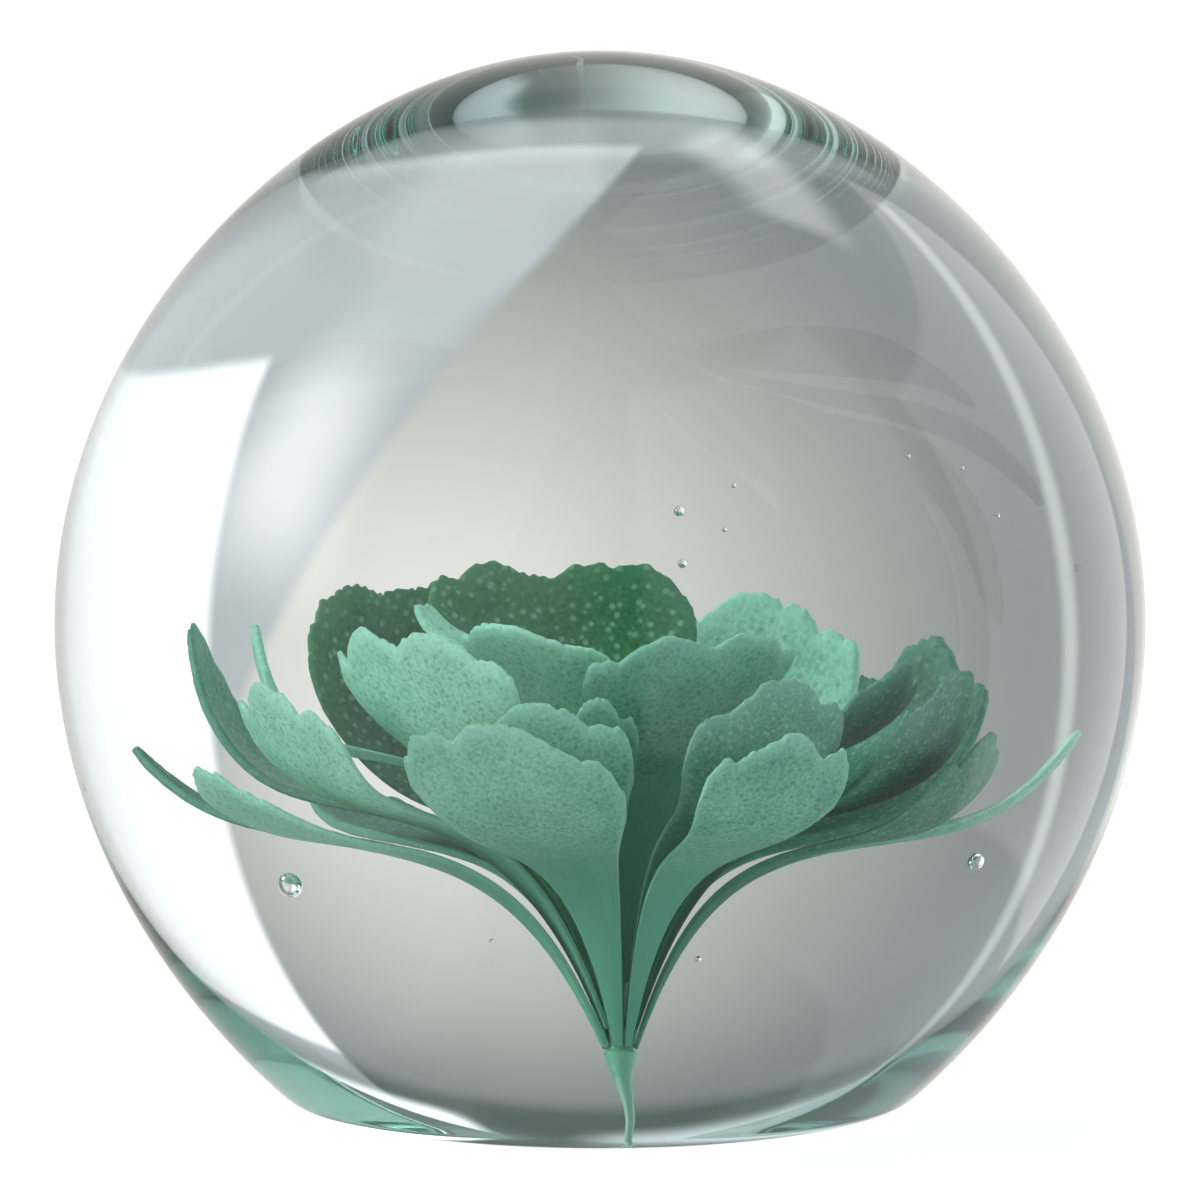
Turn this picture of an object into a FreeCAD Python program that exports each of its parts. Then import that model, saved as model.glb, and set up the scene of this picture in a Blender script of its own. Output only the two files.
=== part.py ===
"""Clear glass paperweight: a ball with a flat base, and a green glass flower sealed inside it.

Millimetres, +Z up. The origin is the middle of the flat base, and -Y is the front.
An azimuth is measured in degrees round the axis, from the front (-Y) towards +X.
"""
import FreeCAD
import Part
import math
import os
from collections import namedtuple

# Glass ball: two half ovals that meet at the equator, slightly slimmer than ellipses.
HALF_WIDTH = 40.0
EQUATOR_HEIGHT = 35.0
CROWN = 42.0              # semi-axis above the equator
CROWN_SLIMMING = 0.07
BELLY = 44.6              # semi-axis below the equator, cut off by the flat base
BELLY_SLIMMING = 0.12
BASE_ROUNDING = 1.5       # radius of the rounded rim of the base
OUTLINE_STEPS = 14

# Seed bubbles left in the glass: azimuth, distance from the axis, height, radius.
BUBBLES = (
    (-64.0, 19.2, 21.3, 0.75),
    (74.0, 21.6, 22.4, 0.55),
    (31.0, 8.2, 42.0, 0.28),
    (26.0, 10.2, 39.5, 0.24),
    (38.0, 12.0, 44.0, 0.14),
    (30.0, 14.0, 42.0, 0.14),
    (62.0, 20.0, 46.0, 0.16),
    (70.0, 22.0, 45.0, 0.14),
    (66.0, 26.0, 43.0, 0.18),
    (32.0, 10.0, 17.5, 0.18),
    (-30.0, 12.0, 18.5, 0.12),
    (-88.0, 36.0, 31.0, 0.3),
    (-84.0, 34.0, 24.5, 0.24),
    (88.0, 36.5, 44.0, 0.3),
)

# Drawn thread that the flower stands on: height and radius. It waves sideways below SWAY_TOP.
THREAD = (
    (1.2, 0.11),
    (3.6, 0.15),
    (6.2, 0.19),
    (8.8, 0.26),
    (10.8, 0.44),
    (12.5, 0.86),
    (12.75, 0.58),
    (18.6, 0.3),
)
THREAD_CUTS = 4           # ruled lengths between two of those heights
SWAY_TOP = 12.5
THREAD_SWAY = 0.45        # size of its waves
THREAD_WAVE = 7.0         # height of one wave

# Petals. Every petal is a sector of the trumpet of its tier, with a rounded and lobed free edge.
ROOT_RADIUS = 0.78        # where the petals leave the thread
ROOT_THICKNESS = 0.2
HEAD_THICKNESS = 0.5
NECK = 0.72               # angle the root spans, as a share of the head's
PROFILE_STEPS = 80
GRID_ACROSS = 14
GRID_ALONG = 18
LOBE_DEPTH = 0.04
LEAN = 1.1                # the root stands this far to +X of the ball's axis
LEAN_REACH = 8.0          # and the lean fades out over this distance

# Tier: height of the roots, height gained by the trumpet, and the radius over which it opens.
Tier = namedtuple("Tier", "root_height rise opening")
TIERS = {
    "low": Tier(12.8, 11.6, 3.6),
    "outer": Tier(14.0, 12.2, 3.6),
    "middle": Tier(15.3, 13.6, 3.3),
    "inner": Tier(16.7, 14.5, 3.0),
    "heart": Tier(18.2, 15.8, 2.6),
}

# azimuth: middle of the head. half_angle: half the angle the head spans. reach: distance of the tip from the
# axis. curl: how late the petal turns up to its tip. shoulder: how far the free edge drops at its sides.
# skew: how far the free edge leans to one side. twist: turn of the root from the head, in degrees.
Petal = namedtuple("Petal", "name tier azimuth half_angle reach tip_height curl lobes shoulder skew twist")
PETALS = (
    Petal("petal_low_front_left", "low", -17, 22, 19.3, 31.6, 6.5, 3, 0.17, -0.04, 10),
    Petal("petal_low_front_right", "low", 35, 16, 19.3, 30.8, 7, 3, 0.16, 0.0, -7),
    Petal("petal_low_left", "low", -86, 19, 21.0, 27.7, 8, 3, 0.2, 0.0, 12),
    Petal("petal_low_left_point", "low", -117, 6, 22.6, 28.1, 7, 1, 0.3, 0.0, 0),
    Petal("petal_low_right", "low", 83, 14, 20.6, 29.6, 8, 3, 0.16, 0.0, -9),
    Petal("petal_low_right_point", "low", 111, 8, 23.2, 28.8, 7, 1, 0.3, 0.0, 0),
    Petal("petal_low_back_right", "low", 145, 11, 22.4, 31.8, 8, 3, 0.16, 0, 0),
    Petal("petal_low_back_left", "low", -148, 10.5, 20.0, 26.6, 8, 2, 0.3, 0.0, 6),
    Petal("petal_outer_front", "outer", -13, 20, 16.2, 32.6, 7, 3, 0.17, 0.01, 4),
    Petal("petal_outer_front_right", "outer", 38, 20, 16.6, 33.6, 7, 3, 0.18, 0.0, -5),
    Petal("petal_outer_right", "outer", 77, 17, 19.6, 33.0, 7, 3, 0.15, 0.0, -2),
    Petal("petal_outer_back_right", "outer", 122, 11, 15.6, 30.2, 6, 3, 0.2, 0, 0),
    Petal("petal_outer_back", "outer", 161, 17, 19.2, 33.5, 7, 3, 0.15, 0, 0),
    Petal("petal_outer_back_left", "outer", -150, 17, 18.2, 34.8, 7, 2, 0.15, 0, 0),
    Petal("petal_outer_left_back", "outer", -115, 13, 20.4, 33.6, 9, 1, 0.42, 0.0, 4),
    Petal("petal_outer_left", "outer", -75, 20, 18.7, 32.4, 7, 3, 0.15, 0.01, 8),
    Petal("petal_middle_left", "middle", -52, 31, 14.6, 35.9, 5, 4, 0.15, 0.02, 2),
    Petal("petal_middle_left_finger", "middle", -100, 6, 17.0, 34.4, 14, 1, 0.2, 0.0, 5),
    Petal("petal_middle_right", "middle", 70, 15, 17.2, 33.8, 6, 3, 0.2, 0.0, -4),
    Petal("petal_middle_back", "middle", -170, 28, 14.0, 36.0, 5, 2, 0.13, 0, 0),
    Petal("petal_middle_front", "middle", -2, 12, 12.6, 32.6, 5, 3, 0.18, 0.0, 4),
    Petal("petal_inner_front_right", "inner", 34, 42, 10.8, 35.6, 4, 4, 0.13, 0.0, -4),
    Petal("petal_inner_left", "inner", -75, 20, 13.2, 34.9, 5, 2, 0.14, 0.03, 4),
    Petal("petal_heart_front", "heart", -42, 48, 8.6, 35.8, 3, 3, 0.24, 0.0, 6),
    Petal("petal_heart_left", "heart", -126, 7, 10.8, 35.4, 12, 2, 0.25, 0, 0),
    Petal("petal_heart_back", "heart", 135, 40, 7.0, 33.4, 3, 4, 0.16, 0.0, 0),
)


def around(azimuth, radius, height):
    """A point given by its azimuth in degrees, its distance from the axis and its height."""
    turn = math.radians(azimuth)
    return FreeCAD.Vector(radius * math.sin(turn), -radius * math.cos(turn), height)


def ball_radius(height):
    """Radius of the glass at a height, before the rim of the base is rounded."""
    above = height > EQUATOR_HEIGHT
    semi_axis = CROWN if above else BELLY
    slimming = CROWN_SLIMMING if above else BELLY_SLIMMING
    part = min(abs(height - EQUATOR_HEIGHT) / semi_axis, 1.0)
    return HALF_WIDTH * math.sqrt(1 - part ** 2) * (1 - slimming * part ** 2)


def ball():
    """The whole ball as one solid of revolution."""
    def outline_point(angle):
        semi_axis = CROWN if angle > 0 else BELLY
        height = EQUATOR_HEIGHT + semi_axis * math.sin(angle)
        return FreeCAD.Vector(ball_radius(height), 0, height)

    foot_angle = -math.asin(EQUATOR_HEIGHT / BELLY)
    angles = [foot_angle + (math.pi / 2 - foot_angle) * k / OUTLINE_STEPS for k in range(OUTLINE_STEPS + 1)]
    side = Part.BSplineCurve()
    side.interpolate(Points=[outline_point(angle) for angle in angles])
    foot = side.StartPoint
    top = side.EndPoint
    origin = FreeCAD.Vector(0, 0, 0)
    outline = Part.Wire([
        Part.LineSegment(origin, foot).toShape(),
        side.toShape(),
        Part.LineSegment(top, origin).toShape(),
    ])
    solid = Part.Face(outline).revolve(origin, FreeCAD.Vector(0, 0, 1), 360)
    flat = 1e-3
    edges = [edge for edge in solid.Edges if edge.BoundBox.ZMax < flat]
    rim = [edge for edge in edges if edge.BoundBox.XLength > HALF_WIDTH / 2]
    return solid.makeFillet(BASE_ROUNDING, rim)


def lean(radius):
    """Shift of the flower to +X at a distance from its axis."""
    return LEAN * math.exp(-radius / LEAN_REACH)


def thread_section(height, radius):
    below = max(1 - height / SWAY_TOP, 0)
    sway = below * (1 + THREAD_SWAY * math.sin(2 * math.pi * height / THREAD_WAVE))
    middle = FreeCAD.Vector(lean(ROOT_RADIUS) + sway, 0, height)
    return Part.Wire([Part.Circle(middle, FreeCAD.Vector(0, 0, 1), radius).toShape()])


def thread():
    """The stem: a tapered, waving thread that flares under the roots of the petals."""
    sections = []
    for (low, low_radius), (high, high_radius) in zip(THREAD, THREAD[1:]):
        for k in range(THREAD_CUTS):
            part = k / THREAD_CUTS
            radius = low_radius + part * (high_radius - low_radius)
            sections.append(thread_section(low + part * (high - low), radius))
    sections.append(thread_section(*THREAD[-1]))
    return Part.makeLoft(sections, True, True)


class Profile:
    """Section of a petal through the axis, from root to tip, measured by its length."""

    def __init__(self, petal):
        self.petal = petal
        self.tier = TIERS[petal.tier]
        span = petal.reach - ROOT_RADIUS
        shelf = self.tier.rise * (1 - math.exp(-span / self.tier.opening))
        self.lift = petal.tip_height - self.tier.root_height - shelf
        self.radii = [ROOT_RADIUS + span * k / PROFILE_STEPS for k in range(PROFILE_STEPS + 1)]
        self.lengths = [0.0]
        for low, high in zip(self.radii, self.radii[1:]):
            step = math.hypot(high - low, self.height(high) - self.height(low))
            self.lengths.append(self.lengths[-1] + step)

    def height(self, radius):
        out = radius - ROOT_RADIUS
        part = max(out / (self.petal.reach - ROOT_RADIUS), 0)
        trumpet = self.tier.rise * (1 - math.exp(-out / self.tier.opening))
        return self.tier.root_height + trumpet + self.lift * part ** self.petal.curl

    def radius_at(self, fraction):
        """Radius at a fraction of the length from root to tip."""
        wanted = fraction * self.lengths[-1]
        for k in range(PROFILE_STEPS):
            if self.lengths[k + 1] >= wanted or k == PROFILE_STEPS - 1:
                step = (wanted - self.lengths[k]) / (self.lengths[k + 1] - self.lengths[k])
                return self.radii[k] + step * (self.radii[k + 1] - self.radii[k])

    def face_point(self, fraction, azimuth, side):
        """A point of the petal's upper (side 1) or lower (side -1) face."""
        radius = self.radius_at(fraction)
        height = self.height(radius)
        small = 0.01
        slope = math.atan((self.height(radius + small) - self.height(radius - small)) / (2 * small))
        half = side * (ROOT_THICKNESS + (HEAD_THICKNESS - ROOT_THICKNESS) * fraction) / 2
        out = radius - half * math.sin(slope)
        return around(azimuth, out, height + half * math.cos(slope)) + FreeCAD.Vector(lean(out), 0, 0)


def free_edge(petal, turn):
    """Fraction of the full length that the petal reaches, for a turn of -90 to 90 degrees across it."""
    rounded = 1 - petal.shoulder * (1 - math.cos(turn))
    lobe = abs(math.sin(petal.lobes * (turn + math.pi / 2)))
    return rounded - LOBE_DEPTH * (1 - lobe) + petal.skew * math.sin(turn)


def smooth_face(rows):
    """A cubic face drawn by a grid of poles, through the grid's corners and along its borders."""
    def knots(count):
        return list(range(count - 2))

    def multiplicities(count):
        return [4] + [1] * (count - 4) + [4]

    across = len(rows)
    along = len(rows[0])
    surface = Part.BSplineSurface()
    surface.buildFromPolesMultsKnots(
        rows, multiplicities(across), multiplicities(along), knots(across), knots(along), False, False, 3, 3)
    return surface.toShape()


def petal_face(petal, profile, side):
    """One of the petal's two large faces."""
    rows = []
    for i in range(GRID_ACROSS + 1):
        turn = math.pi * (i / GRID_ACROSS - 0.5)
        reach = free_edge(petal, turn)
        row = []
        for j in range(GRID_ALONG + 1):
            along = j / GRID_ALONG
            middle = petal.azimuth + petal.twist * (1 - along)
            spread = petal.half_angle * (NECK + (1 - NECK) * along ** 3)
            row.append(profile.face_point(reach * along, middle + spread * math.sin(turn), side))
        rows.append(row)
    return smooth_face(rows)


def petal_solid(petal):
    """A petal: its two large faces, joined all round by narrow ruled faces."""
    profile = Profile(petal)
    upper = petal_face(petal, profile, 1)
    lower = petal_face(petal, profile, -1)
    rims = [Part.makeRuledSurface(above, below) for above, below in zip(upper.Edges, lower.Edges)]
    shell = Part.Shell([upper, lower] + rims)
    shell.sewShape()
    if Part.Solid(shell).Volume < 0:
        shell = shell.reversed()
    return Part.Solid(shell)


def bubble(azimuth, distance, height, radius):
    """An air bubble, as the round solid that is taken out of the glass."""
    return Part.makeSphere(radius, around(azimuth, distance, height))


def hollowed(solid, hollows):
    """The solid with closed hollows inside it, each the exact shape of the piece that fills it."""
    shells = [solid.Shells[0]] + [hollow.Shells[0].reversed() for hollow in hollows]
    return Part.Solid(Part.Compound(shells))


def main():
    os.makedirs("parts", exist_ok=True)
    flower = {petal.name: petal_solid(petal) for petal in PETALS}
    flower["stem_thread"] = thread()
    hollows = list(flower.values()) + [bubble(*place) for place in BUBBLES]
    nodes = dict(flower, glass_body=hollowed(ball(), hollows))
    for name, shape in nodes.items():
        shape.exportStep("parts/" + name + ".step")


if __name__ == "__main__":
    main()
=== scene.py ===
"""Looks of the glass paperweight: clear ball, green glass flower, thread and seed bubbles.

Metres, in the frame's own axes: +Z up, -Y the front. An azimuth is in degrees round the axis,
from the front (-Y) towards +X. Sizes of the flower are in millimetres until a mesh is made.
"""
import math
from collections import namedtuple

import bpy
import numpy as np
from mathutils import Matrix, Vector


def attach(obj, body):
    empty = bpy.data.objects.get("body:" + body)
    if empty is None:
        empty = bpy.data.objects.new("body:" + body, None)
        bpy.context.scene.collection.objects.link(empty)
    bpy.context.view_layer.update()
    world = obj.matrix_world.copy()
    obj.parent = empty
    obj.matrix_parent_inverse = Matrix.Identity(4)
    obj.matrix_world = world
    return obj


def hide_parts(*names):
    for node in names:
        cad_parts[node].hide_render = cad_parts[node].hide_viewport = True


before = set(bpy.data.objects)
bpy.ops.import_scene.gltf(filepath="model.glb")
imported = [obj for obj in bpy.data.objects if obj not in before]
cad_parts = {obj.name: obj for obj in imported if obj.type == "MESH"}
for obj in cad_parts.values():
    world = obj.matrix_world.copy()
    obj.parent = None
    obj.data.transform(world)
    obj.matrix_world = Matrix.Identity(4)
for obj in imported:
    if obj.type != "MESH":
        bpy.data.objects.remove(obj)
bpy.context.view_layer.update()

MM = 0.001
BODY = "root"
WHITE = (1, 1, 1, 1)

# Camera: a long lens, a little above the middle of the ball.
CAMERA_DISTANCE = 0.9
CAMERA_ELEVATION = 8.0
AIM_HEIGHT = 36.7 * MM
VIEW_WIDTH = 88.0 * MM
SENSOR = 36.0

# Floor: pale and matt, with a glow that lifts it to white.
FLOOR_RADIUS = 6.0
FLOOR_TURNS = 96
FLOOR_DROP = 0.02 * MM               # keeps it clear of the flat base
FLOOR_GREY = (0.9, 0.9, 0.9, 1)
FLOOR_GLOW = 1.13
FLOOR_GLOW_SHARE = 0.8

# Glass ball, as in the CAD model.
SHRINK = 0.9995                      # keeps the ball just inside the CAD model's box
HALF_WIDTH = 40.0
EQUATOR_HEIGHT = 35.0
CROWN = 42.0
CROWN_SLIMMING = 0.07
BELLY = 44.6
BELLY_SLIMMING = 0.12
BASE_ROUNDING = 1.5
FOOT_INSET = 1.1                     # the flat base stops this far short of the wall, in roundings
WALL_START = 0.55                    # and the wall starts this high, in roundings
BASE_STEPS = 12                      # rings on the flat base, and as many round its rim
BALL_TURNS = 256
BALL_RINGS = 200
GLASS_INDEX = 1.5
GLASS_TINT = (0.15, 0.55, 0.45, 1)   # what the glass lets through over a long way, a faint bottle green
GLASS_TINT_DENSITY = 3.6

# Bubbles: azimuth, distance from the axis, height, radius.
BUBBLES = (
    (-64.0, 19.2, 21.3, 0.75),
    (74.0, 21.6, 22.4, 0.55),
    (31.0, 8.2, 42.0, 0.28),
    (26.0, 10.2, 39.5, 0.24),
    (38.0, 12.0, 44.0, 0.14),
    (30.0, 14.0, 42.0, 0.14),
    (62.0, 20.0, 46.0, 0.16),
    (70.0, 22.0, 45.0, 0.14),
    (66.0, 26.0, 43.0, 0.18),
    (32.0, 10.0, 17.5, 0.18),
    (-30.0, 12.0, 18.5, 0.12),
    (-88.0, 36.0, 31.0, 0.3),
    (-84.0, 34.0, 24.5, 0.24),
    (88.0, 36.5, 44.0, 0.3),
)
BUBBLE_TURNS = 40
BUBBLE_RINGS = 20

# Thread: height and radius.
THREAD = (
    (1.2, 0.11),
    (3.6, 0.15),
    (6.2, 0.19),
    (8.8, 0.26),
    (10.8, 0.44),
    (12.5, 0.86),
    (12.75, 0.58),
    (18.6, 0.3),
)
SWAY_TOP = 12.5                      # the thread waves below this height
THREAD_SHIFT = 1.0                   # its foot stands this far to +X of the flower's root
THREAD_SWAY = 0.45                   # size of its waves
THREAD_WAVE = 7.0                    # height of one wave
THREAD_RINGS = 160
THREAD_SIDES = 24

# Petals, as in the CAD model.
ROOT_RADIUS = 0.78
ROOT_THICKNESS = 0.2
HEAD_THICKNESS = 0.5
NECK = 0.72                          # angle the root spans, as a share of the head's
FLARE = 3                            # power of the length with which the root widens into the head
LOBE_DEPTH = 0.04
LEAN = 1.1                           # the root stands this far to +X of the ball's axis
LEAN_REACH = 8.0

# Finer detail of the petals than in the CAD model.
PROFILE_STEPS = 200
CELLS_ACROSS = 96
CELLS_ALONG = 130
RAGGED_DEPTH = 0.012                 # raggedness of the edge, as a share of the length
RAGGED_CELLS = 6                     # and its random values in each radian of the outline
FINE_DEPTH = 0.005
FINE_CELLS = 30
SIDE_TAPER = 0.06                    # share of the half width over which a petal thins to its side
TIP_TAPER = 0.03                     # share of the length over which it thins to its tip
RIM_THICKNESS = 0.35                 # what is left at the rim, as a share of the full thickness
GRAIN_SIZE = 0.28
GRAIN_HEIGHT = 0.03
WAVE_SIZE = 4.0
WAVE_HEIGHT = 0.22
RELIEF_SLOPE = 1.6                   # the relief grows this fast along a petal
RELIEF_DROP = 0.5                    # less this much, so that the root stays smooth
SEEDS_PER_PETAL = 10

# A tier: the height of its roots, the rise of its trumpet curve and the distance over which that opens.
Tier = namedtuple("Tier", "root_height rise opening")
TIERS = {
    "low": Tier(12.8, 11.6, 3.6),
    "outer": Tier(14.0, 12.2, 3.6),
    "middle": Tier(15.3, 13.6, 3.3),
    "inner": Tier(16.7, 14.5, 3.0),
    "heart": Tier(18.2, 15.8, 2.6),
}

# A petal: its tier, middle azimuth and half angle in degrees, reach and height of its tip, how late it
# curls, its number of lobes, how round and how lopsided its edge is, and the twist of its root in degrees.
Petal = namedtuple("Petal", "name tier azimuth half_angle reach tip_height curl lobes shoulder skew twist")
PETALS = (
    Petal("petal_low_front_left", "low", -17, 22, 19.3, 31.6, 6.5, 3, 0.17, -0.04, 10),
    Petal("petal_low_front_right", "low", 35, 16, 19.3, 30.8, 7, 3, 0.16, 0.0, -7),
    Petal("petal_low_left", "low", -86, 19, 21.0, 27.7, 8, 3, 0.2, 0.0, 12),
    Petal("petal_low_left_point", "low", -117, 6, 22.6, 28.1, 7, 1, 0.3, 0.0, 0),
    Petal("petal_low_right", "low", 83, 14, 20.6, 29.6, 8, 3, 0.16, 0.0, -9),
    Petal("petal_low_right_point", "low", 111, 8, 23.2, 28.8, 7, 1, 0.3, 0.0, 0),
    Petal("petal_low_back_right", "low", 145, 11, 22.4, 31.8, 8, 3, 0.16, 0, 0),
    Petal("petal_low_back_left", "low", -148, 10.5, 20.0, 26.6, 8, 2, 0.3, 0.0, 6),
    Petal("petal_outer_front", "outer", -13, 20, 16.2, 32.6, 7, 3, 0.17, 0.01, 4),
    Petal("petal_outer_front_right", "outer", 38, 20, 16.6, 33.6, 7, 3, 0.18, 0.0, -5),
    Petal("petal_outer_right", "outer", 77, 17, 19.6, 33.0, 7, 3, 0.15, 0.0, -2),
    Petal("petal_outer_back_right", "outer", 122, 11, 15.6, 30.2, 6, 3, 0.2, 0, 0),
    Petal("petal_outer_back", "outer", 161, 17, 19.2, 33.5, 7, 3, 0.15, 0, 0),
    Petal("petal_outer_back_left", "outer", -150, 17, 18.2, 34.8, 7, 2, 0.15, 0, 0),
    Petal("petal_outer_left_back", "outer", -115, 13, 20.4, 33.6, 9, 1, 0.42, 0.0, 4),
    Petal("petal_outer_left", "outer", -75, 20, 18.7, 32.4, 7, 3, 0.15, 0.01, 8),
    Petal("petal_middle_left", "middle", -52, 31, 14.6, 35.9, 5, 4, 0.15, 0.02, 2),
    Petal("petal_middle_left_finger", "middle", -100, 6, 17.0, 34.4, 14, 1, 0.2, 0.0, 5),
    Petal("petal_middle_right", "middle", 70, 15, 17.2, 33.8, 6, 3, 0.2, 0.0, -4),
    Petal("petal_middle_back", "middle", -170, 28, 14.0, 36.0, 5, 2, 0.13, 0, 0),
    Petal("petal_middle_front", "middle", -2, 12, 12.6, 32.6, 5, 3, 0.18, 0.0, 4),
    Petal("petal_inner_front_right", "inner", 34, 42, 10.8, 35.6, 4, 4, 0.13, 0.0, -4),
    Petal("petal_inner_left", "inner", -75, 20, 13.2, 34.9, 5, 2, 0.14, 0.03, 4),
    Petal("petal_heart_front", "heart", -42, 48, 8.6, 35.8, 3, 3, 0.24, 0.0, 6),
    Petal("petal_heart_left", "heart", -126, 7, 10.8, 35.4, 12, 2, 0.25, 0, 0),
    Petal("petal_heart_back", "heart", 135, 40, 7.0, 33.4, 3, 4, 0.16, 0.0, 0),
)


# ---------------------------------------------------------------- scene

def add_camera():
    """The camera, on a long lens, looking slightly down at the ball."""
    data = bpy.data.cameras.new("camera")
    data.sensor_width = SENSOR
    data.lens = SENSOR * CAMERA_DISTANCE / VIEW_WIDTH
    camera = bpy.data.objects.new("camera", data)
    bpy.context.scene.collection.objects.link(camera)
    rise = math.radians(CAMERA_ELEVATION)
    aim = Vector((0, 0, AIM_HEIGHT))
    camera.location = aim + CAMERA_DISTANCE * Vector((0, -math.cos(rise), math.sin(rise)))
    camera.rotation_euler = (aim - camera.location).to_track_quat("-Z", "Y").to_euler()
    bpy.context.scene.camera = camera


def new_material(name):
    """An empty node material, its node tree and its output node."""
    material = bpy.data.materials.new(name)
    material.use_nodes = True
    material.node_tree.nodes.clear()
    output = material.node_tree.nodes.new("ShaderNodeOutputMaterial")
    return material, material.node_tree, output


def link_object(name, data):
    """An object in the scene that shows a mesh."""
    piece = bpy.data.objects.new(name, data)
    bpy.context.scene.collection.objects.link(piece)
    return piece


def floor_material():
    """Pale matt grey mixed with a white glow."""
    material, tree, output = new_material("floor_white")
    diffuse = tree.nodes.new("ShaderNodeBsdfDiffuse")
    diffuse.inputs["Color"].default_value = FLOOR_GREY
    glow = tree.nodes.new("ShaderNodeEmission")
    glow.inputs["Color"].default_value = WHITE
    glow.inputs["Strength"].default_value = FLOOR_GLOW
    mix = tree.nodes.new("ShaderNodeMixShader")
    mix.inputs["Fac"].default_value = FLOOR_GLOW_SHARE
    tree.links.new(diffuse.outputs[0], mix.inputs[1])
    tree.links.new(glow.outputs[0], mix.inputs[2])
    tree.links.new(mix.outputs[0], output.inputs["Surface"])
    return material


def add_floor():
    """A round floor under the object. The camera sees it, and the glass doesn't."""
    turns = [2 * math.pi * k / FLOOR_TURNS for k in range(FLOOR_TURNS)]
    ring = [(FLOOR_RADIUS * math.cos(turn), FLOOR_RADIUS * math.sin(turn), 0) for turn in turns]
    mesh = bpy.data.meshes.new("floor")
    mesh.from_pydata(ring, [], [list(range(FLOOR_TURNS))])
    mesh.materials.append(floor_material())
    floor = link_object("floor", mesh)
    floor.location.z = -FLOOR_DROP
    floor.visible_transmission = False
    floor.visible_glossy = False


class NodeMaths:
    """Short calls that add nodes to a node tree. Each one gives the new node's output."""

    def __init__(self, tree):
        self.tree = tree

    def put(self, socket, value):
        """Set a socket to a number or a colour, or link it to the output of another node."""
        if isinstance(value, (int, float)):
            socket.default_value = value
        elif isinstance(value, tuple):
            socket.default_value = (*value, 1)
        else:
            self.tree.links.new(value, socket)

    def maths(self, operation, *values):
        node = self.tree.nodes.new("ShaderNodeMath")
        node.operation = operation
        for socket, value in zip(node.inputs, values):
            self.put(socket, value)
        return node.outputs[0]

    def product(self, first, *others):
        result = first
        for value in others:
            result = self.maths("MULTIPLY", result, value)
        return result

    def ramp(self, value, low, high, start=0.0, end=1.0):
        """Smooth step of a value from low to high."""
        node = self.tree.nodes.new("ShaderNodeMapRange")
        node.interpolation_type = "SMOOTHSTEP"
        self.put(node.inputs["Value"], value)
        self.put(node.inputs["From Min"], low)
        self.put(node.inputs["From Max"], high)
        self.put(node.inputs["To Min"], start)
        self.put(node.inputs["To Max"], end)
        return node.outputs["Result"]

    def blend(self, amount, first, second):
        """Mix of two colours."""
        node = self.tree.nodes.new("ShaderNodeMix")
        node.data_type = "RGBA"
        self.put(node.inputs["A"], first)
        self.put(node.inputs["B"], second)
        self.put(node.inputs["Factor"], amount)
        return node.outputs["Result"]

    def noise(self, kind, place):
        node = self.tree.nodes.new("ShaderNodeTexNoise")
        node.inputs["Scale"].default_value = kind.scale
        node.inputs["Detail"].default_value = kind.detail
        self.tree.links.new(place, node.inputs["Vector"])
        return node.outputs["Fac"]


# ---------------------------------------------------------------- studio

# Azimuth here is from straight behind the object (+Y) towards +X, and every angle is in degrees.
HALF_TURN = 180.0

# Backdrop: a warm patch of light behind the object.
PATCH_COLOUR = (0.84, 0.745, 0.69)
PATCH_AZIMUTH = 12.0
PATCH_ELEVATION = -4.0
PATCH_HALF_WIDTH = 32.0
PATCH_HALF_HEIGHT = 30.0

# Grey card on the right, in front of the patch. The soft edges run between two angles.
CARD_COLOUR = (0.41, 0.405, 0.44)
CARD_NEAR_EDGE = (28.7, 30.7)
CARD_FAR_EDGE = (100.0, 130.0)
CARD_FOOT = (-59.0, -56.0)
CARD_LEAN = 0.64                     # its near edge moves right this much for each degree up
CARD_LEAN_TOP = 5.0                  # and is upright above this elevation

# Dim light all round, which changes with elevation from below to above each step.
Step = namedtuple("Step", "low high below above")
CEILING_EDGE = (37.0, 43.0)
CEILING_COLOUR = (0.015, 0.05, 0.038)
SURROUND_COLOUR = (0.93, 1.0, 1.03)
SURROUND_STEPS = (
    Step(-60.0, 0.0, 0.27, 0.18),    # brighter towards the table
    Step(*CEILING_EDGE, 1.0, 0.1),   # dark ceiling
    Step(8.0, 25.0, 1.0, 1.3),       # brighter again just below the ceiling
    Step(-73.0, -67.0, 0.62, 1.0),   # darker straight below
)

# Panels: soft-edged patches of light, by middle azimuth, half width, lowest and highest elevation.
Panel = namedtuple("Panel", "azimuth half_width low high softness colour")
PANELS = (
    Panel(62, 29, -29, 37, 1.0, (0.86, 0.79, 0.78)),       # white screen on the right, behind
    Panel(-47, 1.6, -50, 50, 1.3, (0.32, 0.34, 0.32)),     # narrow gap of light on the left
    Panel(-101, 14, 12, 46, 12.0, (8.0, 8.1, 8.5)),        # bright softbox on the left
    Panel(-60, 60, 52, 82, 6.0, (1.2, 1.25, 1.3)),         # wide panel high on the left
    Panel(0, 60, -68, -55, 3.0, (0.2, 0.21, 0.22)),        # the table top, lit from above
    Panel(135, 36, -19, 55, 2.0, (0.55, 0.6, 0.68)),       # faint softbox on the right, in front
    Panel(40, 18, 48, 61, 4.0, (3.2, 3.3, 3.4)),           # strip light above and behind
    Panel(-138, 38, -35, 30, 12.0, (0.9, 0.9, 0.9)),       # fill light from the left, in front
)


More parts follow.
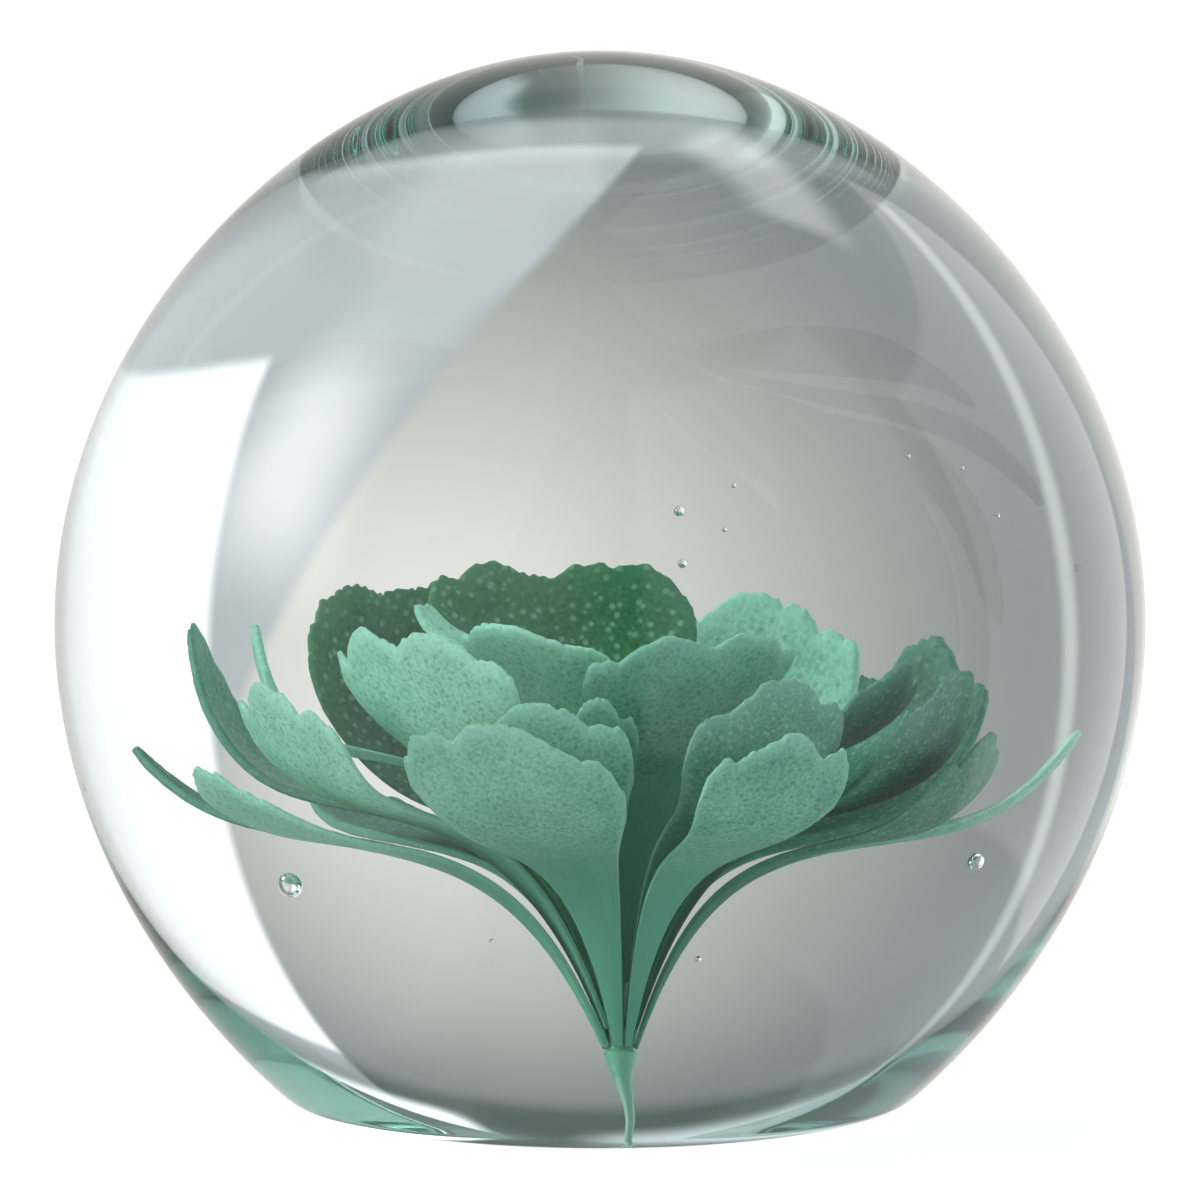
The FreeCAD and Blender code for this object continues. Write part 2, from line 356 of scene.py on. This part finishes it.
class SkyMaths(NodeMaths):
    """Maths on the direction that light comes from."""

    def __init__(self, tree):
        super().__init__(tree)
        where = tree.nodes.new("ShaderNodeTexCoord")
        split = tree.nodes.new("ShaderNodeSeparateXYZ")
        tree.links.new(where.outputs["Generated"], split.inputs[0])
        self.azimuth = self.maths("DEGREES", self.maths("ARCTAN2", split.outputs["X"], split.outputs["Y"]))
        self.elevation = self.maths("DEGREES", self.maths("ARCSINE", split.outputs["Z"]))

    def aside(self, azimuth):
        """Angle to either side of an azimuth."""
        turn = self.maths("SUBTRACT", self.azimuth, azimuth)
        return self.maths("ABSOLUTE", self.maths("WRAP", turn, HALF_TURN, -HALF_TURN))

    def tinted(self, colour, amount):
        """Light of a colour, times an amount."""
        node = self.tree.nodes.new("ShaderNodeVectorMath")
        node.operation = "SCALE"
        node.inputs[0].default_value = colour
        self.tree.links.new(amount, node.inputs["Scale"])
        return node.outputs[0]

    def total(self, lights):
        result = lights[0]
        for light in lights[1:]:
            node = self.tree.nodes.new("ShaderNodeVectorMath")
            node.operation = "ADD"
            self.tree.links.new(result, node.inputs[0])
            self.tree.links.new(light, node.inputs[1])
            result = node.outputs[0]
        return result


def patch_amount(sky):
    """The bright patch: 1 in its middle, fading like a bell curve."""
    across = sky.maths("DIVIDE", sky.aside(PATCH_AZIMUTH), PATCH_HALF_WIDTH)
    above = sky.maths("SUBTRACT", sky.elevation, PATCH_ELEVATION)
    upright = sky.maths("DIVIDE", above, PATCH_HALF_HEIGHT)
    spread = sky.maths("ADD", sky.product(across, across), sky.product(upright, upright))
    return sky.maths("EXPONENT", sky.maths("MULTIPLY", spread, -1.0))


def card_amount(sky):
    """The grey card: 1 on it and 0 off it."""
    rise = sky.maths("MINIMUM", sky.elevation, CARD_LEAN_TOP)
    past_lean = sky.maths("SUBTRACT", sky.azimuth, sky.maths("MULTIPLY", rise, CARD_LEAN))
    near = sky.ramp(past_lean, *CARD_NEAR_EDGE)
    far = sky.ramp(sky.azimuth, *CARD_FAR_EDGE, 1.0, 0.0)
    return sky.product(near, far, sky.ramp(sky.elevation, *CARD_FOOT))


def panel_amount(sky, panel):
    """A panel: 1 on it and 0 off it, with soft edges."""
    soft = panel.softness
    beside = sky.aside(panel.azimuth)
    sides = sky.ramp(beside, panel.half_width - soft, panel.half_width + soft, 1.0, 0.0)
    bottom = sky.ramp(sky.elevation, panel.low - soft, panel.low + soft)
    top = sky.ramp(sky.elevation, panel.high - soft, panel.high + soft, 1.0, 0.0)
    return sky.product(bottom, top, sides)


def studio_light(sky):
    """Colour of the light from each direction."""
    card = card_amount(sky)
    patch = sky.product(patch_amount(sky), sky.maths("SUBTRACT", 1.0, card))
    surround = sky.product(*(sky.ramp(sky.elevation, *step) for step in SURROUND_STEPS))
    lights = [
        sky.tinted(PATCH_COLOUR, patch),
        sky.tinted(CARD_COLOUR, card),
        sky.tinted(SURROUND_COLOUR, surround),
        sky.tinted(CEILING_COLOUR, sky.ramp(sky.elevation, *CEILING_EDGE)),
    ]
    lights += [sky.tinted(panel.colour, panel_amount(sky, panel)) for panel in PANELS]
    return sky.total(lights)


def add_world():
    """The studio, by direction, as the glass sees it. The camera sees plain white."""
    world = bpy.data.worlds.new("studio")
    bpy.context.scene.world = world
    world.use_nodes = True
    tree = world.node_tree
    tree.nodes.clear()
    studio = tree.nodes.new("ShaderNodeBackground")
    tree.links.new(studio_light(SkyMaths(tree)), studio.inputs["Color"])
    plain = tree.nodes.new("ShaderNodeBackground")
    plain.inputs["Color"].default_value = WHITE
    path = tree.nodes.new("ShaderNodeLightPath")
    mix = tree.nodes.new("ShaderNodeMixShader")
    tree.links.new(path.outputs["Is Camera Ray"], mix.inputs["Fac"])
    tree.links.new(studio.outputs[0], mix.inputs[1])
    tree.links.new(plain.outputs[0], mix.inputs[2])
    output = tree.nodes.new("ShaderNodeOutputWorld")
    tree.links.new(mix.outputs[0], output.inputs["Surface"])
    world.cycles.sampling_method = "MANUAL"
    world.cycles.sample_map_resolution = 512


def set_light_paths():
    """Enough bounces for light to cross the ball, the petals and the bubbles many times."""
    scene = bpy.context.scene
    scene.view_settings.view_transform = "Standard"
    cycles = scene.cycles
    cycles.max_bounces = 48
    cycles.transmission_bounces = 40
    cycles.glossy_bounces = 40
    cycles.diffuse_bounces = 4
    cycles.transparent_max_bounces = 8
    cycles.caustics_refractive = True
    cycles.caustics_reflective = True
    cycles.sample_clamp_indirect = 6.0
    cycles.blur_glossy = 0.0
    cycles.use_denoising = True


# ---------------------------------------------------------------- glass

def ball_radius(height):
    """Radius of the ball at a height."""
    above = height > EQUATOR_HEIGHT
    semi_axis = CROWN if above else BELLY
    slimming = CROWN_SLIMMING if above else BELLY_SLIMMING
    part = min(abs(height - EQUATOR_HEIGHT) / semi_axis, 1.0)
    return HALF_WIDTH * math.sqrt(1 - part ** 2) * (1 - slimming * part ** 2)


def ball_outline():
    """Radius and height from the middle of the base, round its rim and up to the top."""
    wall_height = BASE_ROUNDING * WALL_START
    wall = ball_radius(wall_height)
    corner = ball_radius(0.0)
    foot = wall - BASE_ROUNDING * FOOT_INSET
    outline = [(foot * k / BASE_STEPS, 0.0) for k in range(1, BASE_STEPS + 1)]
    for k in range(1, BASE_STEPS + 1):
        # quadratic curve from the base, round the rim, to the wall
        turn = k / (BASE_STEPS + 1)
        radius = (1 - turn) ** 2 * foot + 2 * turn * (1 - turn) * corner + turn ** 2 * wall
        outline.append((radius, turn ** 2 * wall_height))
    start = math.asin((EQUATOR_HEIGHT - wall_height) / BELLY)
    for k in range(BALL_RINGS):
        angle = -start + (math.pi / 2 + start) * k / BALL_RINGS
        height = EQUATOR_HEIGHT + (CROWN if angle > 0 else BELLY) * math.sin(angle)
        outline.append((ball_radius(height), height))
    return outline


def ball_mesh():
    """Points and faces of the ball, turned about the axis."""
    outline = ball_outline()
    points = [(0.0, 0.0, 0.0)]
    for radius, height in outline:
        for k in range(BALL_TURNS):
            turn = 2 * math.pi * k / BALL_TURNS
            points.append((radius * math.cos(turn), radius * math.sin(turn), height))
    top = len(points)
    points.append((0.0, 0.0, EQUATOR_HEIGHT + CROWN))
    faces = []

    def at(ring, k):
        return 1 + ring * BALL_TURNS + k % BALL_TURNS

    for k in range(BALL_TURNS):
        faces.append((0, at(0, k + 1), at(0, k)))
    for ring in range(len(outline) - 1):
        for k in range(BALL_TURNS):
            faces.append((at(ring, k), at(ring, k + 1), at(ring + 1, k + 1), at(ring + 1, k)))
    last = len(outline) - 1
    for k in range(BALL_TURNS):
        faces.append((at(last, k), at(last, k + 1), top))
    return points, faces


def bubble_mesh(azimuth, distance, height, radius, first):
    """Points and inward faces of one bubble, with point numbers from first."""
    turn = math.radians(azimuth)
    centre = (distance * math.sin(turn), -distance * math.cos(turn), height)
    points = [(centre[0], centre[1], centre[2] - radius)]
    for ring in range(1, BUBBLE_RINGS):
        tilt = math.pi * ring / BUBBLE_RINGS
        for k in range(BUBBLE_TURNS):
            around = 2 * math.pi * k / BUBBLE_TURNS
            points.append((centre[0] + radius * math.sin(tilt) * math.cos(around),
                           centre[1] + radius * math.sin(tilt) * math.sin(around),
                           centre[2] - radius * math.cos(tilt)))
    points.append((centre[0], centre[1], centre[2] + radius))
    last = first + len(points) - 1

    def at(ring, k):
        return first + 1 + (ring - 1) * BUBBLE_TURNS + k % BUBBLE_TURNS

    faces = []
    for k in range(BUBBLE_TURNS):
        faces.append((first, at(1, k), at(1, k + 1)))
        for ring in range(1, BUBBLE_RINGS - 1):
            faces.append((at(ring, k), at(ring + 1, k), at(ring + 1, k + 1), at(ring, k + 1)))
        faces.append((at(BUBBLE_RINGS - 1, k), last, at(BUBBLE_RINGS - 1, k + 1)))
    return points, faces


def glass_material():
    """Clear glass with a faint tint that deepens with the way through it."""
    material, tree, output = new_material("clear_glass")
    shader = tree.nodes.new("ShaderNodeBsdfPrincipled")
    shader.inputs["Base Color"].default_value = WHITE
    shader.inputs["Roughness"].default_value = 0.0
    shader.inputs["IOR"].default_value = GLASS_INDEX
    shader.inputs["Transmission Weight"].default_value = 1.0
    tree.links.new(shader.outputs[0], output.inputs["Surface"])
    tint = tree.nodes.new("ShaderNodeVolumeAbsorption")
    tint.inputs["Color"].default_value = GLASS_TINT
    tint.inputs["Density"].default_value = GLASS_TINT_DENSITY
    tree.links.new(tint.outputs[0], output.inputs["Volume"])
    return material


def add_glass():
    """The ball and its bubbles, as one mesh."""
    points, faces = ball_mesh()
    for place in BUBBLES:
        more_points, more_faces = bubble_mesh(*place, len(points))
        points += more_points
        faces += more_faces
    mesh = bpy.data.meshes.new("glass_ball")
    mesh.from_pydata([(x * MM * SHRINK, y * MM * SHRINK, z * MM) for x, y, z in points], [], faces)
    mesh.shade_smooth()
    mesh.materials.append(glass_material())
    ball = link_object("glass_ball", mesh)
    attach(ball, BODY)
    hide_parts("glass_body")


# ---------------------------------------------------------------- flower

def value_noise(points, size, seed):
    """Smooth random numbers from -1 to 1 at points (N, 3), with features of the given size."""
    cells = 64
    lattice = np.random.default_rng(seed).uniform(-1, 1, (cells, cells, cells))
    place = points / size + 0.5 * cells
    base = np.floor(place).astype(int)
    part = place - base
    part = part * part * (3 - 2 * part)
    result = np.zeros(len(points))
    for corner in range(8):
        step = np.array([corner & 1, corner >> 1 & 1, corner >> 2 & 1])
        weight = np.prod(np.where(step, part, 1 - part), axis=1)
        index = (base + step) % cells
        result += weight * lattice[index[:, 0], index[:, 1], index[:, 2]]
    return result


def lean(radius):
    """Shift of the flower to +X at a distance from its axis."""
    return LEAN * np.exp(-radius / LEAN_REACH)


class Profile:
    """Section of a petal through the axis, measured along its length."""

    def __init__(self, petal):
        self.petal = petal
        self.tier = TIERS[petal.tier]
        self.span = petal.reach - ROOT_RADIUS
        shelf = self.tier.rise * (1 - math.exp(-self.span / self.tier.opening))
        self.lift = petal.tip_height - self.tier.root_height - shelf
        self.radii = np.linspace(ROOT_RADIUS, petal.reach, PROFILE_STEPS + 1)
        heights = self.height(self.radii)
        steps = np.hypot(np.diff(self.radii), np.diff(heights))
        self.lengths = np.concatenate([[0], np.cumsum(steps)])

    def height(self, radius):
        out = radius - ROOT_RADIUS
        part = np.maximum(out / self.span, 0.0)
        trumpet = self.tier.rise * (1 - np.exp(-out / self.tier.opening))
        return self.tier.root_height + trumpet + self.lift * part ** self.petal.curl

    def radius_at(self, fraction):
        return np.interp(fraction * self.lengths[-1], self.lengths, self.radii)

    def slope(self, radius):
        small = 0.01
        return np.arctan((self.height(radius + small) - self.height(radius - small)) / (2 * small))


def edge_noise(turn, cells, level, seed):
    """Random values from -1 to 1 along a petal's outline, with so many cells in each radian."""
    points = np.column_stack([turn[:, 0] * cells, np.full((len(turn), 2), level)])
    return value_noise(points, 1.0, seed)[:, None]


def petal_edge(petal, turn, seed):
    """How far a petal reaches at each turn of its outline, as a share of its length."""
    rounded = 1 - petal.shoulder * (1 - np.cos(turn))
    lobe = np.abs(np.sin(petal.lobes * (turn + math.pi / 2)))
    ragged = edge_noise(turn, RAGGED_CELLS, 0.0, seed)
    fine = edge_noise(turn, FINE_CELLS, 1.0, seed + 1)
    lobed = rounded - LOBE_DEPTH * (1 - lobe) + petal.skew * np.sin(turn)
    return lobed + RAGGED_DEPTH * ragged + FINE_DEPTH * fine


def petal_faces_points(petal, seed):
    """Both sides of a petal in millimetres, as grids of points, then its across, along and rim values."""
    profile = Profile(petal)
    turn = np.linspace(-math.pi / 2, math.pi / 2, CELLS_ACROSS + 1)[:, None]
    along = np.linspace(0, 1, CELLS_ALONG + 1)[None, :]
    across = np.sin(turn)
    fraction = petal_edge(petal, turn, seed) * along
    spread = np.radians(petal.half_angle) * (NECK + (1 - NECK) * along ** FLARE)
    azimuth = np.radians(petal.azimuth + petal.twist * (1 - along)) + spread * across
    radius = profile.radius_at(fraction)
    height = profile.height(radius)
    slope = profile.slope(radius)
    near_side = np.sqrt(np.clip((1 - np.abs(across)) / SIDE_TAPER, 0, 1))
    near_tip = np.sqrt(np.clip((1 - along) / TIP_TAPER, 0, 1))
    taper = RIM_THICKNESS + (1 - RIM_THICKNESS) * np.minimum(near_side, near_tip)
    half = (ROOT_THICKNESS + (HEAD_THICKNESS - ROOT_THICKNESS) * fraction) / 2 * taper
    faces = []
    for side in (1, -1):
        out = radius - side * half * np.sin(slope)
        up = height + side * half * np.cos(slope)
        faces.append(np.stack([out * np.sin(azimuth) + lean(out), -out * np.cos(azimuth), up], axis=-1))
    rim = np.maximum(np.abs(across), along)
    return faces[0], faces[1], across + 0 * along, fraction, rim


def petal_relief(upper, lower, along, seed):
    """Both sides of a petal with fused grain and slow waves on its head."""
    middle = ((upper + lower) / 2).reshape(-1, 3)
    outward = upper - lower
    outward = outward / np.linalg.norm(outward, axis=-1, keepdims=True)
    grain = GRAIN_HEIGHT * value_noise(middle, GRAIN_SIZE, seed + 2).reshape(*along.shape, 1)
    wave = WAVE_HEIGHT * value_noise(middle, WAVE_SIZE, seed + 3).reshape(*along.shape, 1)
    strength = np.clip(RELIEF_SLOPE * along - RELIEF_DROP, 0, 1)[..., None]
    outward = outward * strength
    return upper + outward * (grain + wave), lower - outward * (grain - wave)


def petal_quads(rows, columns):
    """Faces of a petal: its two sides and the narrow band round its edge."""
    count = rows * columns
    index = np.arange(count).reshape(rows, columns)
    corners = (index[:-1, :-1], index[1:, :-1], index[1:, 1:], index[:-1, 1:])
    top = np.stack(corners, axis=-1).reshape(-1, 4)
    bottom = top[:, ::-1] + count
    border = np.concatenate([index[:-1, 0], index[-1, :-1], index[:0:-1, -1], index[0, :0:-1]])
    after = np.roll(border, -1)
    band = np.stack([after, border, border + count, after + count], axis=-1)
    return np.concatenate([top, bottom, band])


def petal_mesh(petal, seed):
    """Mesh of a petal, with a map across and along it and the nearness of its rim."""
    upper, lower, across, along, rim = petal_faces_points(petal, seed)
    upper, lower = petal_relief(upper, lower, along, seed)
    points = np.concatenate([upper.reshape(-1, 3), lower.reshape(-1, 3)]) * MM
    mesh = bpy.data.meshes.new(petal.name)
    mesh.from_pydata(points.tolist(), [], petal_quads(*along.shape).tolist())
    mesh.shade_smooth()
    layer = mesh.uv_layers.new(name="petal")
    side = np.stack([across.reshape(-1), along.reshape(-1)], axis=-1)
    uv = np.concatenate([side, side])
    loops = np.empty(len(mesh.loops), dtype=int)
    mesh.loops.foreach_get("vertex_index", loops)
    layer.data.foreach_set("uv", uv[loops].astype(np.float32).ravel())
    nearness = mesh.attributes.new("rim", "FLOAT", "POINT")
    nearness.data.foreach_set("value", np.tile(rim.reshape(-1), 2).astype(np.float32))
    return mesh


# Frit colours: dark and light grain, specks, and the streaks between the dark ones in the stalk, set dark
# partly as painted shade of the flower's recess.
Frit = namedtuple("Frit", "dark light speck root")
# Sage is the petals' own frit. The others are lit and shaded copies of it, with painted light or painted
# shade.
FRITS = {
    # Painted light: a lighter copy for the petals on the lit side, mostly the left.
    "painted_light_frit": Frit((0.24, 0.59, 0.41), (0.44, 0.83, 0.62), (0.13, 0.41, 0.26), (0.09, 0.32, 0.17)),
    "sage_frit": Frit((0.15, 0.41, 0.29), (0.30, 0.62, 0.46), (0.10, 0.30, 0.20), (0.13, 0.40, 0.27)),
    # Painted shade: a darker copy for petals that lie in shadow.
    "painted_shade_frit": Frit((0.10, 0.29, 0.20), (0.22, 0.46, 0.34), (0.32, 0.58, 0.45), (0.10, 0.30, 0.20)),
    # Painted shade, darker still: the petals on the right.
    "painted_dark_shade_frit": Frit((0.035, 0.16, 0.095), (0.11, 0.30, 0.21), (0.22, 0.45, 0.33), (0.07, 0.25, 0.15)),
    # Painted shade: the dark copy for the inner faces seen at the back of the flower, with pale specks.
    "painted_inner_shade_frit": Frit((0.035, 0.18, 0.065), (0.09, 0.30, 0.14), (0.34, 0.62, 0.42), (0.07, 0.26, 0.14)),
}
# Which petals get the painted light copy and which get the painted shade copies. All others are sage.
PETALS_IN = {
    "painted_light_frit": ("petal_low_left", "petal_outer_left", "petal_middle_left", "petal_middle_left_finger",
                    "petal_outer_back", "petal_heart_left", "petal_heart_front"),
    "painted_shade_frit": ("petal_outer_front_right", "petal_outer_left_back", "petal_low_back_left",
                   "petal_low_left_point"),
    "painted_dark_shade_frit": ("petal_middle_right", "petal_outer_right", "petal_outer_back_right", "petal_low_right",
                  "petal_low_back_right"),
    "painted_inner_shade_frit": ("petal_middle_back", "petal_inner_left", "petal_outer_back_left"),
}

# Colour noise: its scale and detail, and the values between which it turns from one colour to the other.
Noise = namedtuple("Noise", "scale detail low high")
GRAIN = Noise(4600.0, 2.0, 0.34, 0.66)
CLUMP = Noise(420.0, 3.0, 0.3, 0.7)
STREAK = Noise(3.0, 4.0, 0.25, 0.75)
GRAIN_SHARE = 0.6                    # the clumps have the rest
STREAK_STRETCH = (7.0, 1.2, 1.0)     # narrow across the stalk and long down it
STALK_PAINTED_SHADE = 0.8                    # painted shade of the flower's recess: the dark grain's colour is multiplied by this in the stalk
HEAD_START = (0.3, 0.75)             # the stalk turns into the head over this part of the length
SPECK_SCALE = 2100.0
SPECK_EDGE = (0.14, 0.4)             # a speck fades out between these distances, in cells
SPECK_STRENGTH = 0.6
RIM_EDGE = (0.955, 0.985)            # the pale rim starts between these nearnesses
RIM_STRENGTH = 0.45
FRIT_ROUGHNESS = 0.6
FRIT_GLOSS = 0.1
BUMP_STRENGTH = 0.5
BUMP_HEIGHT = 0.08 * MM


def head_colour(make, frit, grain, place):
    """Sandy grain in loose clumps."""
    clump = make.noise(CLUMP, place)
    fine = make.maths("MULTIPLY", make.ramp(grain, GRAIN.low, GRAIN.high), GRAIN_SHARE)
    loose = make.maths("MULTIPLY", make.ramp(clump, CLUMP.low, CLUMP.high), 1 - GRAIN_SHARE)
    return make.blend(make.maths("ADD", fine, loose), frit.dark, frit.light)


def stalk_colour(make, frit, uv):
    """Smooth streaks along the stalk, darker than the head partly as painted shade of the flower's recess.
    """
    stretch = make.tree.nodes.new("ShaderNodeMapping")
    stretch.inputs["Scale"].default_value = STREAK_STRETCH
    make.tree.links.new(uv, stretch.inputs["Vector"])
    streak = make.ramp(make.noise(STREAK, stretch.outputs[0]), STREAK.low, STREAK.high)
    return make.blend(streak, tuple(STALK_PAINTED_SHADE * part for part in frit.dark), frit.root)


def speck_amount(make, place):
    """Scattered specks, each strongest in its middle."""
    spots = make.tree.nodes.new("ShaderNodeTexVoronoi")
    spots.inputs["Scale"].default_value = SPECK_SCALE
    make.tree.links.new(place, spots.inputs["Vector"])
    return make.ramp(spots.outputs["Distance"], *SPECK_EDGE, SPECK_STRENGTH, 0.0)


def frit_material(name, frit):
    """Fused crushed glass: sandy grain with specks on the head, streaks on the stalk and a pale rim."""
    material, tree, output = new_material(name)
    make = NodeMaths(tree)
    place = tree.nodes.new("ShaderNodeTexCoord").outputs["Object"]
    uv = tree.nodes.new("ShaderNodeUVMap")
    uv.uv_map = "petal"
    split = tree.nodes.new("ShaderNodeSeparateXYZ")
    tree.links.new(uv.outputs[0], split.inputs[0])
    rim = tree.nodes.new("ShaderNodeAttribute")
    rim.attribute_name = "rim"
    headness = make.ramp(split.outputs["Y"], *HEAD_START)
    grain = make.noise(GRAIN, place)
    stalk = stalk_colour(make, frit, uv.outputs[0])
    colour = make.blend(headness, stalk, head_colour(make, frit, grain, place))
    colour = make.blend(make.product(speck_amount(make, place), headness), colour, frit.speck)
    pale = make.maths("MULTIPLY", make.ramp(rim.outputs["Fac"], *RIM_EDGE), RIM_STRENGTH)
    colour = make.blend(pale, colour, frit.light)
    shader = tree.nodes.new("ShaderNodeBsdfPrincipled")
    tree.links.new(colour, shader.inputs["Base Color"])
    shader.inputs["Roughness"].default_value = FRIT_ROUGHNESS
    shader.inputs["Specular IOR Level"].default_value = FRIT_GLOSS
    bump = tree.nodes.new("ShaderNodeBump")
    bump.inputs["Strength"].default_value = BUMP_STRENGTH
    bump.inputs["Distance"].default_value = BUMP_HEIGHT
    tree.links.new(make.product(grain, headness), bump.inputs["Height"])
    tree.links.new(bump.outputs[0], shader.inputs["Normal"])
    tree.links.new(shader.outputs[0], output.inputs["Surface"])
    return material


def frit_name(petal):
    """Name of the frit that a petal is made of."""
    for frit, petals in PETALS_IN.items():
        if petal in petals:
            return frit
    return "sage_frit"


def add_petals():
    """The petals, each one an object of its own."""
    materials = {name: frit_material(name, frit) for name, frit in FRITS.items()}
    for number, petal in enumerate(PETALS):
        mesh = petal_mesh(petal, SEEDS_PER_PETAL * number)
        mesh.materials.append(materials[frit_name(petal.name)])
        piece = link_object(petal.name + "_glass", mesh)
        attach(piece, BODY)
        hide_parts(petal.name)


# ---------------------------------------------------------------- thread

THREAD_PALE = (0.48, 0.68, 0.57)
THREAD_GREEN = (0.16, 0.45, 0.28)
THREAD_FADE = (4.0 * MM, 13.0 * MM)      # pale below the first height and green above the second
THREAD_ROUGHNESS = 0.35


def thread_material():
    """Pale drawn glass that turns green towards the petals."""
    material, tree, output = new_material("thread_glass")
    make = NodeMaths(tree)
    where = tree.nodes.new("ShaderNodeTexCoord")
    split = tree.nodes.new("ShaderNodeSeparateXYZ")
    tree.links.new(where.outputs["Object"], split.inputs[0])
    colour = make.blend(make.ramp(split.outputs["Z"], *THREAD_FADE), THREAD_PALE, THREAD_GREEN)
    shader = tree.nodes.new("ShaderNodeBsdfPrincipled")
    shader.inputs["Roughness"].default_value = THREAD_ROUGHNESS
    tree.links.new(colour, shader.inputs["Base Color"])
    tree.links.new(shader.outputs[0], output.inputs["Surface"])
    return material


def add_thread():
    """The thread, as rings round a waving line. Radii between the listed ones are interpolated."""
    known = np.array(THREAD)
    heights = np.linspace(known[0, 0], known[-1, 0], THREAD_RINGS)
    below = np.clip(1 - heights / SWAY_TOP, 0, 1)
    wave = THREAD_SWAY * np.sin(2 * math.pi * heights / THREAD_WAVE)
    drift = lean(ROOT_RADIUS) + below * (THREAD_SHIFT + wave)
    radius = np.interp(heights, known[:, 0], known[:, 1])
    turns = np.linspace(0, 2 * math.pi, THREAD_SIDES, endpoint=False)
    points = []
    for height, shift, size in zip(heights, drift, radius):
        for turn in turns:
            points.append(((shift + size * math.cos(turn)) * MM, size * math.sin(turn) * MM, height * MM))
    faces = [tuple(reversed(range(THREAD_SIDES)))]
    for ring in range(THREAD_RINGS - 1):
        for k in range(THREAD_SIDES):
            after = (k + 1) % THREAD_SIDES
            low = ring * THREAD_SIDES
            faces.append((low + k, low + after, low + THREAD_SIDES + after, low + THREAD_SIDES + k))
    faces.append(tuple(range((THREAD_RINGS - 1) * THREAD_SIDES, THREAD_RINGS * THREAD_SIDES)))
    mesh = bpy.data.meshes.new("stem_thread_glass")
    mesh.from_pydata(points, [], faces)
    mesh.shade_smooth()
    mesh.materials.append(thread_material())
    piece = link_object("stem_thread_glass", mesh)
    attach(piece, BODY)
    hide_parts("stem_thread")


add_camera()
add_floor()
add_world()
set_light_paths()
add_glass()
add_petals()
add_thread()
